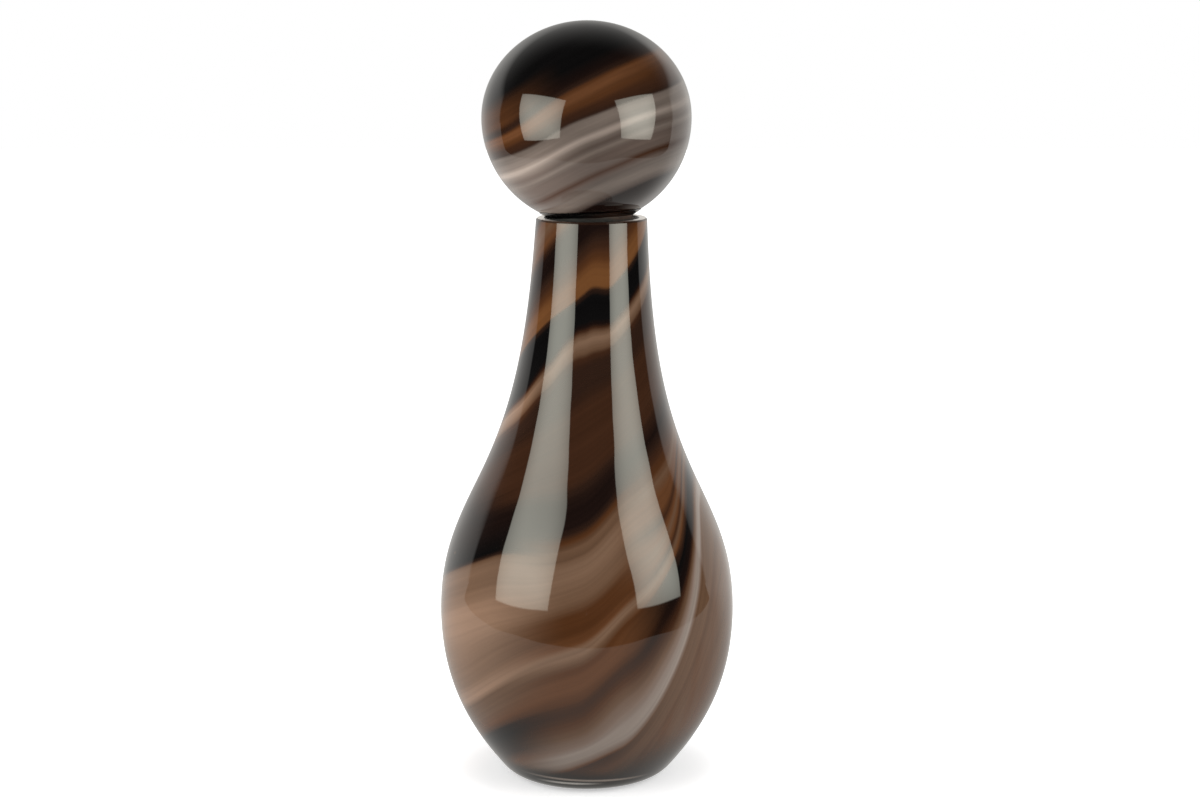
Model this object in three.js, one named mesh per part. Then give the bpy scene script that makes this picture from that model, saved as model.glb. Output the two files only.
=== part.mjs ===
// A hand-blown marbled glass bottle with a hollow ball stopper.
// Sizes are in millimetres and angles in degrees. +Z is up, and the origin is the middle of the foot,
// on the surface that the bottle stands on.
import * as THREE from "three";

// Bottle, outside, from the foot upwards
const PONTIL_RADIUS = 13; // shallow hollow ground into the foot
const PONTIL_DEPTH = 1.4;
const FOOT_RADIUS = 26.5; // outer edge of the flat ring that it stands on
const HEEL_FLARE = 11.8; // from that edge out to where the rounded heel meets the wall
const HEEL_HEIGHT = 5.4;
const HEEL_SLOPE = 49.5; // of the wall where the heel ends, above the level
const BELLY_RADIUS = 64.5; // widest part
const BELLY_RISE = 69.2; // from the end of the heel up to the widest part
const SHOULDER_RADIUS = 47.6; // where the outline turns from round to hollow
const SHOULDER_RISE = 58.1; // from the widest part up to there
const SHOULDER_SLOPE = 64; // of the wall there, above the level
const NECK_RISE = 113.9; // from there up to the rim
const NECK_TAPER = 2.9; // of the neck's wall at the rim, from the upright
const RIM_RADIUS = 23.9;
const RIM_BEVEL = 0.7;
const NECK_LEAN = 1.1; // the neck leans to +X
const LEAN_START = 118; // height at which the lean sets in
const LEAN_EASE = 20; // height over which it sets in

// Bottle, inside
const WALL = 3.6;
const BASE_THICKNESS = 9;
const FLOOR_RADIUS = 20; // flat floor
const LIP_WALL = 4.7; // thick lip round the ground seat
const SEAT_LENGTH = 18; // ground seat, below the rim
const SEAT_TAPER = 0.05; // loss of radius for each unit of depth
const BORE_CHAMFER = 1.5; // leaves room for the head of a stopper that sits askew

// Stopper
const PLUG_DEPTH = 14; // below the rim
const PLUG_CHAMFER = 0.8;
const SEAT_GAP = 0.35; // least gap between the plug and its seat
const HEAD_LIFT = 0.4; // from the rim up to where the plug's head spreads
const HEAD_FLARE = 3.68; // the head's cone spreads by this much
const HEAD_RISE = 2.25; // height of that cone
const SEAM_GAP = 0.3; // cement line between the plug and the ball
const SPIGOT_RADIUS = 9; // peg that locates the ball
const SPIGOT_HEIGHT = 3.4;
const BALL_RADIUS = 44.9;
const BALL_UPPER_HALF = 41.2; // from its widest level up to its top
const BALL_LOWER_HALF = 45.3; // it is a little longer below that level, as if not cut
const BALL_WALL = 3.4;
const BALL_FLOOR = 4; // thickness round the peg
const TILT_SIDE = 2.35; // the stopper sits askew, towards -X
const TILT_BACK = 2.6; // and towards +Y

// How far the handles of each curve reach, as shares of the stretch that it spans
const HEEL_HANDLES = [0.6, 0.5];
const BELLY_HANDLES = [0.417, 0.379];
const SHOULDER_HANDLES = [0.42, 0.375];
const NECK_HANDLES = [0.283, 0.485];
const FLOOR_HANDLES = [0.6, 0.42];
const SEAT_HANDLES = [0.33, 0.27];

// Steps of the faceted surfaces
const ROUND_STEPS = 48;
const PONTIL_STEPS = 3;
const HEEL_STEPS = 5;
const BELLY_STEPS = 10;
const SHOULDER_STEPS = 7;
const NECK_STEPS = 9;
const BALL_LOWER_STEPS = 8;
const BALL_UPPER_STEPS = 11;
const CAVITY_STEPS = 14;

// Places that follow from the sizes above
const radians = THREE.MathUtils.degToRad;
const heelRadius = FOOT_RADIUS + HEEL_FLARE;
const bellyHeight = HEEL_HEIGHT + BELLY_RISE;
const shoulderHeight = bellyHeight + SHOULDER_RISE;
const rimHeight = shoulderHeight + NECK_RISE;
const boreRadius = RIM_RADIUS - LIP_WALL;
const askew = Math.hypot(radians(TILT_SIDE + NECK_LEAN), radians(TILT_BACK));
const plugClearance = SEAT_GAP + (PLUG_DEPTH / 2) * Math.tan(askew);
const plugRadius = boreRadius - plugClearance;
const headTop = HEAD_LIFT + HEAD_RISE;
const seamRadius = plugRadius + HEAD_FLARE;

// A point of an outline: distance from the axis, then height
const at = (radius, height) => new THREE.Vector2(radius, height);

// Points of a smooth curve between two ends, each with the handle that it leaves or arrives by
function sweep(start, leave, arrive, end, steps) {
  const handles = [start.clone().add(leave), end.clone().add(arrive)];
  return new THREE.CubicBezierCurve(start, ...handles, end).getPoints(steps);
}

// Points of an elliptical arc about a point on the axis, between two angles above the level
function dome(centre, radius, halfHeight, from, to, steps) {
  return Array.from({ length: steps + 1 }, (_, step) => {
    const angle = from + ((to - from) * step) / steps;
    return at(radius * Math.cos(angle), centre + halfHeight * Math.sin(angle));
  });
}

// Turns an outline that starts and ends on the axis into a closed solid, with +Z as its axis
function turned(stretches) {
  const outline = stretches.flat();
  const joined = outline.filter((spot, index) => index === 0 || !spot.equals(outline[index - 1]));
  joined[0].x = 0;
  joined[joined.length - 1].x = 0;
  return new THREE.LatheGeometry(joined, ROUND_STEPS).rotateX(Math.PI / 2);
}

// How far the neck has moved towards +X at a height
function leanAt(height) {
  const above = Math.max(0, height - LEAN_START);
  return (Math.tan(radians(NECK_LEAN)) * above * above) / (above + LEAN_EASE);
}

// Moves each level of a turned solid sideways with the neck's lean
function leaned(geometry) {
  const places = geometry.attributes.position;
  for (let index = 0; index < places.count; index += 1) {
    places.setX(index, places.getX(index) + leanAt(places.getZ(index)));
  }
  return geometry;
}

// The hollow in the foot, as a shallow arc from the axis to its edge
function pontil() {
  const reach = (PONTIL_RADIUS * PONTIL_RADIUS - PONTIL_DEPTH * PONTIL_DEPTH) / (2 * PONTIL_DEPTH);
  const radius = reach + PONTIL_DEPTH;
  const edge = Math.asin(reach / radius);
  return dome(-reach, radius, radius, Math.PI / 2, edge, PONTIL_STEPS);
}

// The outside of the bottle, from the foot's flat ring to the bevel of the rim
function bottleOutside() {
  const heel = at(heelRadius, HEEL_HEIGHT);
  const belly = at(BELLY_RADIUS, bellyHeight);
  const shoulder = at(SHOULDER_RADIUS, shoulderHeight);
  const rim = at(RIM_RADIUS, rimHeight - RIM_BEVEL);
  const alongHeel = at(Math.cos(radians(HEEL_SLOPE)), Math.sin(radians(HEEL_SLOPE)));
  const alongShoulder = at(-Math.cos(radians(SHOULDER_SLOPE)), Math.sin(radians(SHOULDER_SLOPE)));
  const downNeck = at(Math.tan(radians(NECK_TAPER)), -1);
  const foot = at(FOOT_RADIUS, 0);
  return [
    sweep(
      foot,
      at(HEEL_FLARE * HEEL_HANDLES[0], 0),
      alongHeel.clone().multiplyScalar(-HEEL_HEIGHT * HEEL_HANDLES[1]),
      heel,
      HEEL_STEPS,
    ),
    sweep(
      heel,
      alongHeel.clone().multiplyScalar(BELLY_RISE * BELLY_HANDLES[0]),
      at(0, -BELLY_RISE * BELLY_HANDLES[1]),
      belly,
      BELLY_STEPS,
    ),
    sweep(
      belly,
      at(0, SHOULDER_RISE * SHOULDER_HANDLES[0]),
      alongShoulder.clone().multiplyScalar(-SHOULDER_RISE * SHOULDER_HANDLES[1]),
      shoulder,
      SHOULDER_STEPS,
    ),
    sweep(
      shoulder,
      alongShoulder.clone().multiplyScalar(NECK_RISE * NECK_HANDLES[0]),
      downNeck.clone().multiplyScalar(NECK_RISE * NECK_HANDLES[1]),
      rim,
      NECK_STEPS,
    ),
  ].flat();
}

// The inside of the bottle, from the ground rim down to the middle of the floor
function bottleInside() {
  const slope = radians(SHOULDER_SLOPE);
  const floor = at(FLOOR_RADIUS, BASE_THICKNESS);
  const belly = at(BELLY_RADIUS - WALL, bellyHeight);
  const shoulder = at(SHOULDER_RADIUS - WALL * Math.sin(slope), shoulderHeight - WALL * Math.cos(slope));
  const seatEnd = at(boreRadius - SEAT_TAPER * SEAT_LENGTH, rimHeight - SEAT_LENGTH);
  const alongShoulder = at(-Math.cos(slope), Math.sin(slope));
  const floorReach = belly.x - floor.x;
  const bellyReach = belly.y - floor.y;
  const shoulderReach = shoulder.y - belly.y;
  const neckReach = seatEnd.y - shoulder.y;
  const upwards = [
    [at(0, BASE_THICKNESS)],
    sweep(
      floor,
      at(floorReach * FLOOR_HANDLES[0], 0),
      at(0, -bellyReach * FLOOR_HANDLES[1]),
      belly,
      BELLY_STEPS,
    ),
    sweep(
      belly,
      at(0, shoulderReach * SHOULDER_HANDLES[0]),
      alongShoulder.clone().multiplyScalar(-shoulderReach * SHOULDER_HANDLES[1]),
      shoulder,
      SHOULDER_STEPS,
    ),
    sweep(
      shoulder,
      alongShoulder.clone().multiplyScalar(neckReach * SEAT_HANDLES[0]),
      at(0, -neckReach * SEAT_HANDLES[1]),
      seatEnd,
      NECK_STEPS,
    ),
    [
      at(boreRadius - SEAT_TAPER * BORE_CHAMFER, rimHeight - BORE_CHAMFER),
      at(boreRadius + BORE_CHAMFER, rimHeight),
      at(RIM_RADIUS - RIM_BEVEL, rimHeight),
    ],
  ];
  return upwards.flat().reverse();
}

// The hollow ball, with its underside cut flat at the seam and drilled for the plug's peg.
// Heights are above the rim.
function ballGeometry() {
  const seam = headTop + SEAM_GAP;
  const cutAngle = Math.acos(seamRadius / BALL_RADIUS);
  const centre = seam + BALL_LOWER_HALF * Math.sin(cutAngle);
  const top = centre + BALL_UPPER_HALF;
  const hole = SPIGOT_RADIUS + SEAM_GAP;
  const cavityRadius = BALL_RADIUS - BALL_WALL;
  const cavityFloor = seam + BALL_FLOOR;
  const cavityHalf = (top - BALL_WALL - cavityFloor) / 2;
  const cavityCentre = cavityFloor + cavityHalf;
  const holeAngle = Math.acos(hole / cavityRadius);
  return turned([
    dome(cavityCentre, cavityRadius, cavityHalf, Math.PI / 2, -holeAngle, CAVITY_STEPS),
    [at(hole, seam)],
    dome(centre, BALL_RADIUS, BALL_LOWER_HALF, -cutAngle, 0, BALL_LOWER_STEPS),
    dome(centre, BALL_RADIUS, BALL_UPPER_HALF, 0, Math.PI / 2, BALL_UPPER_STEPS).slice(1),
  ]);
}

// The ground plug: a tapered end, a cone that spreads to the seam, and a peg into the ball.
// Heights are above the rim.
function plugGeometry() {
  const endRadius = plugRadius - SEAT_TAPER * PLUG_DEPTH;
  return turned([
    [at(0, -PLUG_DEPTH), at(endRadius - PLUG_CHAMFER, -PLUG_DEPTH)],
    [at(endRadius, PLUG_CHAMFER - PLUG_DEPTH), at(plugRadius, HEAD_LIFT)],
    [at(seamRadius, headTop), at(SPIGOT_RADIUS, headTop)],
    [at(SPIGOT_RADIUS, headTop + SPIGOT_HEIGHT), at(0, headTop + SPIGOT_HEIGHT)],
  ]);
}

// A named piece with the finish of its glass
function piece(name, geometry, color, roughness) {
  const mesh = new THREE.Mesh(geometry, new THREE.MeshStandardMaterial({ color, roughness, metalness: 0 }));
  mesh.name = name;
  return mesh;
}

const bottleGeometry = leaned(turned([pontil(), bottleOutside(), bottleInside()]));
const bottle = piece("bottle_body", bottleGeometry, "#5b4434", 0.06);

// The stopper rocks about the middle of its plug, on the axis of the seat
const stopper = new THREE.Group();
const rockHeight = rimHeight - PLUG_DEPTH / 2;
stopper.position.set(leanAt(rockHeight), 0, rockHeight);
stopper.rotation.set(-radians(TILT_BACK), -radians(TILT_SIDE), 0);
const ball = piece("stopper_ball", ballGeometry(), "#5e4a3c", 0.06);
const plug = piece("stopper_plug", plugGeometry(), "#4a3526", 0.2);
for (const part of [ball, plug]) {
  part.position.z = PLUG_DEPTH / 2;
  stopper.add(part);
}

const decorativeBottle = new THREE.Group();
decorativeBottle.add(bottle, stopper);
export default decorativeBottle;
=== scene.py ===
"""A hand-blown marbled glass bottle with a ball stopper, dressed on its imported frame."""
import math

import bpy
from mathutils import Matrix, Vector
from mathutils.geometry import interpolate_bezier


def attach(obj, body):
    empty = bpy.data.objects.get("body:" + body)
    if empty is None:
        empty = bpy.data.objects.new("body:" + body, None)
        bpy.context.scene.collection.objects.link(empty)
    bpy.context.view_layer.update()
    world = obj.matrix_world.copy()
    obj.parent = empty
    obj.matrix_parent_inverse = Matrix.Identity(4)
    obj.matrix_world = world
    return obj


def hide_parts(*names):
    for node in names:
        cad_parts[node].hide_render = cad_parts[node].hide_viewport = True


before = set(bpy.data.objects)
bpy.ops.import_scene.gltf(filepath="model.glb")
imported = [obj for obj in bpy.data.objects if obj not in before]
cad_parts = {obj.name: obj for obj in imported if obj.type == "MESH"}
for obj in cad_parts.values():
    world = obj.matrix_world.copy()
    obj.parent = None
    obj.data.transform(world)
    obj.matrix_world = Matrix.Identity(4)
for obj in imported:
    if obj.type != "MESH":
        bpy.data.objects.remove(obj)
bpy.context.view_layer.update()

bl_info = {
    "name": "Marbled Bottle",
    "version": (1, 0, 0),
    "blender": (4, 5, 0),
    "location": "View3D > Sidebar > Marbled Bottle",
    "description": "Blows a marbled glass bottle, its ball stopper and a white studio round them",
    "category": "Object",
}

MM = 0.001
TO_MM = 1000.0
FULL_TURN = 360.0
HALF_TURN = 180
RIGHT_ANGLE = 90

# How far the handles of each curve of the outline reach, as shares of the stretch that it spans
HEEL_HANDLES = (0.6, 0.5)
BELLY_HANDLES = (0.417, 0.379)
SHOULDER_HANDLES = (0.42, 0.375)
NECK_HANDLES = (0.283, 0.485)
FLOOR_HANDLES = (0.6, 0.42)
SEAT_HANDLES = (0.33, 0.27)

# Points along each curve, steps round the axis, and how the turned mesh is finished
ROUND_STEPS = 160
PONTIL_STEPS = 6
HEEL_STEPS = 10
BELLY_STEPS = 26
SHOULDER_STEPS = 20
NECK_STEPS = 28
BALL_STEPS = 36
CAVITY_STEPS = 24
EASE_PASSES = 5
SMOOTH_ANGLE = math.radians(35)
LEAST_STEP = MM * 0.001
MERGE_GAP = MM * 0.01

# The marbling winds round the bottle like a thread: it rises by this much, in millimetres, for each turn
PITCH = 151.0

# Where the glass was drawn up or down beside the front, as (height, lift) in millimetres
LEFT_BEND = ((-20, 0), (29, 4), (68, 0), (98, 3), (128, 10), (160, 0), (196, -1.5), (221, 2), (251, 0))
RIGHT_BEND = (
    (-20, 0), (16, 1.5), (24, 2), (38, 6), (52, 2), (64, 2), (75, 8), (90, 8.5), (126, 7), (160, 0),
    (195, -6.5), (210, -8), (251, -4),
)

# Where each bend sets in, and where the back begins, in degrees round from the front
LEFT_BEND_TURN = (5, 42)
RIGHT_BEND_TURN = (-2, 22)
BACK_TURN = (95, 160)

# Single waves in the layers. Turns and widths are in degrees, the rest is in millimetres
SAG_TURN = (12, 62)
SAG_LEVEL = 68
SAG_REACH = (6, 36)
SAG_DEPTH = 9
CREST_TURN = -16
CREST_WIDTH = (4, 16)
CREST_LEVEL = 200
CREST_REACH = (6, 20)
CREST_HEIGHT = 2.5
DROOP_TURN = (34, 60)
DROOP_LEVEL = 192
DROOP_REACH = (8, 22)
DROOP_DEPTH = 5.5
WOBBLE_SCALE = 0.012
WOBBLE_HEIGHT = 1.6

# The pull that drew the low layers up steeply at the right, from where it starts to where it fades out
PULL_START = 14
PULL_TURN = (2, 58)
PULL_END = (80, 240)
PULL_HEIGHT = 79
PULL_TOP = (45, 85)
PULL_SLOPE = 1.1
PULL_LAST_TURN = 70
PULL_LAST_EASE = 24

# Just right of the front, the low layers spread like a fan
FAN_TURN = (-4, 18)
FAN_END = (28, 46)
FAN_TOP = (52, 88)
FAN_FOOT = 24
FAN_REACH = 22
FAN_SPREAD = 0.45

# Layers of the lower part of the bottle at the front, as (height in millimetres, colour)
FRONT_LAYERS = (
    (-20, "soot"), (-8, "umber"), (0, "rust"), (10, "chestnut"), (16.5, "cocoa"), (18, "rust"),
    (19.5, "oat"), (22.5, "pearl"), (26, "pearl"), (29, "oat"), (35, "walnut"), (41, "chestnut"),
    (47, "cocoa"), (52, "chestnut"), (57, "rust"), (61, "rust"), (66, "chestnut"), (69.5, "walnut"),
    (72, "tan"), (74, "tan"), (77, "rust"), (82, "chestnut"), (89, "chestnut"), (94, "walnut"),
    (105, "tan"), (109, "tan"), (112, "walnut"), (116, "walnut"), (119, "chestnut"), (122, "umber"),
    (124.5, "soot"), (131, "soot"),
)

# The same layers towards the left
LEFT_LAYERS = (
    (-20, "soot"), (17, "soot"), (23, "walnut"), (28, "rust"), (33, "umber"), (44, "black"),
    (50, "soot"), (55, "rust"), (63, "walnut"), (71, "walnut"), (73.5, "sand"), (76.5, "sand"),
    (80, "tan"), (87, "tan"), (94, "sand"), (100, "sand"), (106, "tan"), (112.5, "tan"),
    (114.5, "walnut"), (115.5, "umber"), (117, "black"), (131, "soot"),
)

# The same layers towards the right
RIGHT_LAYERS = (
    (-20, "soot"), (-6, "cocoa"), (2, "walnut"), (17.5, "walnut"), (20, "oat"), (22, "pearl"),
    (24.5, "pearl"), (27.5, "oat"), (31, "walnut"), (37, "cocoa"), (44, "soot"), (60, "black"),
    (64, "umber"), (68, "rust"), (73, "walnut"), (78, "cocoa"), (83, "rust"), (89, "walnut"),
    (93, "rust"), (98, "cocoa"), (103, "rust"), (108, "rust"), (113, "walnut"), (117, "chestnut"),
    (122, "cocoa"), (126, "umber"), (131, "soot"),
)

# Layers of the shoulder and neck
UPPER_LAYERS = (
    (100, "soot"), (104, "cocoa"), (108, "rust"), (114, "walnut"), (120, "rust"), (126, "soot"),
    (134, "soot"), (138, "umber"), (143, "cocoa"), (170, "cocoa"), (178, "umber"), (187, "umber"),
    (191, "cocoa"), (193.5, "walnut"), (196.5, "tan"), (198.5, "tan"), (200.5, "walnut"),
    (202, "cocoa"), (203.5, "soot"), (206, "black"), (216, "black"), (218, "umber"), (219.6, "amber"),
    (226, "amber"), (231, "chestnut"), (235, "cocoa"), (239, "umber"), (243, "soot"), (251, "soot"),
)

# The lowest layers of the two sets, and where the layers of the sides and of the neck take over
LOWER_START = -20
UPPER_START = 100
LEFT_LAYERS_TURN = (6, 42)
RIGHT_LAYERS_TURN = (8, 38)
UPPER_EDGE = (128, 146)
UPPER_EDGE_RISE = 37
UPPER_EDGE_LEAST = -0.25

# Brown glass with upright strands, under the pulled layers
BROWN_LAYER = (-8, 8)
BROWN_TURN = (90, 150)
STRAND_FINENESS = 0.08
STRAND_DRIFT = 0.01
STRAND_EDGE = (0.3, 0.7)

# Threads along the layers, broad, middle and fine, as (fineness, change with height), and their contrast
THREADS = ((1.8, 0.008), (5, 0.012), (14, 0.02))
THREAD_CONTRAST = (0.2, 0.3, 0.4)
THREAD_GROUND = 0.55
THREAD_FRAY = 2
NOISE_MIDDLE = 0.5

# Glass that is paler towards the left edge and in the droop, and painted shade that darkens it towards the
# foot
PALE_TURN = (26, 72)
PALE_GAIN = 0.36
PALE_GROUND = 0.95
DROOP_GAIN = 0.1
FOOT_SHADE_LOW = 8
FOOT_SHADE_HIGH = 15
FOOT_SHADE_RIGHT_LOW = 2
FOOT_SHADE_RIGHT_HIGH = 20
FOOT_SHADE_GAIN = 0.9
FOOT_SHADE_LEAST = 0.1

# Two pale lines of painted light round the heel, standing in for light that comes through the glass there
LINE_WIDTH = (0.2, 0.9)
HEEL_LIGHT_LINE = 7.6
HEEL_LIGHT_SLANT = 0.02
HEEL_LIGHT_TURN = (12, 52)
HEEL_LIGHT_SHARE = 0.8
GLINT_LINE = 5.6
GLINT_TURN = -12
GLINT_REACH = (4, 26)
GLINT_SHARE = 0.5

# The polished lip, with painted light at its sides and painted shade on its bevel, and the ground faces.
# Depths and skins are in millimetres
LIP_DEPTH = (0.2, 0.05)
LIP_LIGHT_TURN = (30, 86)
LIP_LIGHT_SHARE = 0.9
BEVEL_SHADE_DEPTH = (1.1, 0.7)
BEVEL_SHADE_SHARE = 0.8
SEAT_SKIN = (0.6, 1.6)
SEAT_EDGE = 0.5
PONTIL_SKIN = (0.2, 0.5)
PONTIL_EDGE = 1
GRAIN_SCALE = 2.5
GRAIN_DETAIL = 3.0
GRAIN_EDGE = (0.3, 0.8)
POLISHED = 0.03
GROUND_ROUGH = 0.4

# Layers of the ball, as (degrees above its own equator, colour)
BALL_LAYERS = (
    (-90, "umber"), (-66, "umber"), (-52, "soot"), (-45.5, "soot"), (-42.5, "ash"), (-39, "smoke"),
    (-34, "smoke"), (-29.5, "ash"), (-26, "cocoa"), (-23, "ash"), (-17, "ash"), (-14, "smoke"),
    (-11, "ash"), (-8.5, "smoke"), (-6, "pearl"), (-3, "smoke"), (3.5, "smoke"), (5, "umber"),
    (9, "cocoa"), (12, "chestnut"), (15, "rust"), (18.5, "rust"), (20, "chestnut"), (21.5, "umber"),
    (25, "soot"), (32, "black"), (90, "black"),
)
BALL_LAYER_TILT = 22.0

# How those layers bend. Widths and heights are shares of the ball's radius
BALL_LEFT = (0.0, 0.8)
BALL_RIGHT = (0.3, 0.9)
BALL_LEFT_LIFT = 0.075
BALL_RIGHT_LIFT = 0.045
BALL_LIFT = 0.03
BALL_CAP = (0.1, 0.3)
BALL_CAP_TIP = 0.1
BALL_WOBBLE_SCALE = 0.03
BALL_FRAY = 0.03
BALL_THREADS = (5, 18)
BALL_THREAD_DRIFT = 0.8
BALL_THREAD_CONTRAST = (0.3, 0.8)
BALL_THREAD_GROUND = 0.45
BALL_GLOW_LOW = (22, 27)
BALL_GLOW_HIGH = (32, 44)
BALL_GLOW_SHARE = 0.8
BALL_GREY = (-0.08, 0.1)
BALL_GREY_GAIN = 0.7
BALL_LEFT_GAIN = 0.3
BALL_RIGHT_LOSS = 0.2

# Streaks of the plug, and the levels of its ground end and its collar in millimetres above the rim
PLUG_STREAK_WIDTH = 0.05
PLUG_STREAK_HEIGHT = 0.5
PLUG_STREAK_EDGE = (0.35, 0.7)
PLUG_BROWN_SIDE = (-6, 14)
PLUG_GROUND_LEVEL = (-2.6, -1.8)
PLUG_COLLAR_LEVEL = (0.2, 0.6)
PLUG_COLLAR_ROUGH = 0.7
PLUG_POLISHED = 0.04

# Black, and how strongly the sides of the polished lip of the rim glow with painted light, standing in for
# light that comes through it
BLACK = (0, 0, 0)
LIP_PAINTED_GLOW = 0.45

# The faint waves of a blown surface, and how strongly glass bends light
WAVE_SCALE = 0.035
WAVE_STRENGTH = 0.06
WAVE_DEPTH = 0.004
GLASS_IOR = 1.5

# Larger bubbles in the skin of the glass, as (place, radius) in millimetres, and small ones strewn at random
BOTTLE_SEEDS = (((-57.7, -19.9, 103.7), 1.3), ((-37.2, -43.4, 116.2), 1.2), ((28.9, -48.1, 119.2), 0.7))
BALL_SEEDS = (((8.1, -37.6, 309.6), 0.9), ((24.0, -34.0, 306.6), 0.7), ((2.6, -41.8, 300.5), 0.6))
SEED_CORE = 0.5
SEED_SHARE = 0.8
STREWN_SCALE = 0.045
STREWN_SIZE = (0.012, 0.03)
STREWN_CHANCE = (0.6, 0.65)


def length(name, size, description):
    """A size of the glass, given in millimetres."""
    return bpy.props.FloatProperty(
        name=name,
        description=description,
        default=size * MM,
        precision=4,
        unit="LENGTH",
    )


def slant(name, size, description):
    """An angle of the glass, given in degrees."""
    return bpy.props.FloatProperty(
        name=name,
        description=description,
        default=math.radians(size),
        subtype="ANGLE",
    )


def linear(part):
    """One part of a screen colour, from 0 to 255, as light."""
    share = part / 255
    if share <= 0.04045:
        return share / 12.92
    return ((share + 0.055) / 1.055) ** 2.4


def tint(name, red, green, blue, description):
    """A colour of the glass, given as a screen shows it."""
    return bpy.props.FloatVectorProperty(
        name=name,
        description=description,
        default=(linear(red), linear(green), linear(blue)),
        size=3,
        min=0,
        max=1,
        subtype="COLOR",
    )


class BottleSizes(bpy.types.PropertyGroup):
    """Sizes of the bottle and its stopper."""

    pontil_radius: length("Pontil radius", 13, "Edge of the hollow ground into the foot")
    pontil_depth: length("Pontil depth", 1.4, "Depth of that hollow")
    foot_radius: length("Foot radius", 26.5, "Outer edge of the flat ring that the bottle stands on")
    heel_flare: length("Heel flare", 11.8, "From that edge out to where the rounded heel meets the wall")
    heel_height: length("Heel height", 5.4, "Height at which the heel ends")
    heel_slope: slant("Heel slope", 49.5, "Slope of the wall where the heel ends")
    belly_radius: length("Belly radius", 64.5, "Widest part of the bottle")
    belly_rise: length("Belly rise", 69.2, "From the end of the heel up to the widest part")
    shoulder_radius: length("Shoulder radius", 47.6, "Where the outline turns from round to hollow")
    shoulder_rise: length("Shoulder rise", 58.1, "From the widest part up to there")
    shoulder_slope: slant("Shoulder slope", 64, "Slope of the wall there")
    neck_rise: length("Neck rise", 113.9, "From there up to the rim")
    neck_taper: slant("Neck taper", 2.9, "Lean of the neck's wall at the rim, from the upright")
    rim_radius: length("Rim radius", 23.9, "Outer edge of the rim")
    rim_bevel: length("Rim bevel", 0.7, "Rounding of the rim's outer edge")
    neck_lean: slant("Neck lean", 1.1, "The whole neck leans to the right")
    lean_start: length("Lean start", 118, "Height at which the lean sets in")
    lean_ease: length("Lean ease", 20, "Height over which it sets in")
    wall: length("Wall", 3.6, "Thickness of the blown wall")
    base: length("Base", 9, "Thickness of the base")
    floor_radius: length("Floor radius", 20, "Flat floor inside")
    lip_wall: length("Lip wall", 4.7, "Thick lip round the ground seat")
    seat_length: length("Seat length", 18, "Depth of the ground seat below the rim")
    bore_chamfer: length("Bore chamfer", 1.5, "Bevel where the seat meets the rim")
    plug_depth: length("Plug depth", 14, "How far the plug reaches below the rim")
    plug_chamfer: length("Plug chamfer", 0.8, "Bevel at the end of the plug")
    seat_gap: length("Seat gap", 0.35, "Least gap between the plug and its seat")
    head_lift: length("Head lift", 0.4, "From the rim up to where the plug's head spreads")
    head_flare: length("Head flare", 3.68, "How far the head's cone spreads")
    head_rise: length("Head rise", 2.25, "Height of that cone")
    seam_gap: length("Seam gap", 0.3, "Cement line between the plug and the ball")
    peg_radius: length("Peg radius", 9, "Peg that locates the ball")
    peg_height: length("Peg height", 3.4, "How far the peg stands up")
    ball_radius: length("Ball radius", 44.9, "Half the width of the ball")
    ball_upper_half: length("Ball upper half", 41.1, "From the ball's widest level up to its top")
    ball_lower_half: length("Ball lower half", 45.3, "From that level down, as if the ball weren't cut")
    ball_wall: length("Ball wall", 3.4, "Thickness of the ball's wall")
    ball_floor: length("Ball floor", 4, "Thickness of the ball round the peg")
    tilt_side: slant("Tilt to the side", 2.35, "The stopper sits askew, to the left")
    tilt_back: slant("Tilt to the back", 2.6, "The stopper sits askew, backwards")
    seat_taper: bpy.props.FloatProperty(
        name="Seat taper",
        description="Loss of radius for each unit of depth in the ground seat",
        default=0.05,
    )


class GlassColours(bpy.types.PropertyGroup):
    """Colours of the marbled glass."""

    black: tint("Black", 13, 12, 12, "Darkest glass")
    soot: tint("Soot", 26, 16, 13, "Smoky brown, almost black")
    umber: tint("Umber", 44, 28, 20, "Dark brown")
    cocoa: tint("Cocoa", 58, 35, 22, "Brown of the shoulder")
    chestnut: tint("Chestnut", 77, 46, 25, "Warm brown")
    rust: tint("Rust", 92, 58, 35, "Reddish brown")
    amber: tint("Amber", 105, 67, 37, "Caramel streaks")
    walnut: tint("Walnut", 97, 72, 54, "Brown between the pale layers")
    tan: tint("Tan", 116, 90, 71, "Broad pale layer")
    sand: tint("Sand", 140, 111, 90, "Light part of the broad layer")
    oat: tint("Oat", 119, 100, 88, "Pale grey streaks of the belly")
    ash: tint("Ash", 84, 72, 65, "Dark grey layers of the ball")
    smoke: tint("Smoke", 103, 92, 84, "Grey layers of the ball")
    # Pearl is the palest threads, and also paints the pale line of light round the heel
    pearl: tint("Pearl", 140, 127, 117, "Palest threads")
    # Frost is the grey of ground glass; it also paints the light at the lip's sides and the glint at the heel
    frost_and_painted_light: tint("Frost", 218, 212, 204, "Ground glass of the lip, seat and plug")


class BottleSettings(bpy.types.PropertyGroup):
    """What a user of the bottle may change."""

    sizes: bpy.props.PointerProperty(type=BottleSizes)
    colours: bpy.props.PointerProperty(type=GlassColours)


# Outlines


def belly_height(sizes):
    return sizes.heel_height + sizes.belly_rise


def shoulder_height(sizes):
    return belly_height(sizes) + sizes.shoulder_rise


def rim_height(sizes):
    return shoulder_height(sizes) + sizes.neck_rise


def bore_radius(sizes):
    return sizes.rim_radius - sizes.lip_wall


def plug_radius(sizes):
    askew = math.hypot(sizes.tilt_side + sizes.neck_lean, sizes.tilt_back)
    return bore_radius(sizes) - sizes.seat_gap - sizes.plug_depth / 2 * math.tan(askew)


def head_top(sizes):
    return sizes.head_lift + sizes.head_rise


def seam_radius(sizes):
    return plug_radius(sizes) + sizes.head_flare


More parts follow.
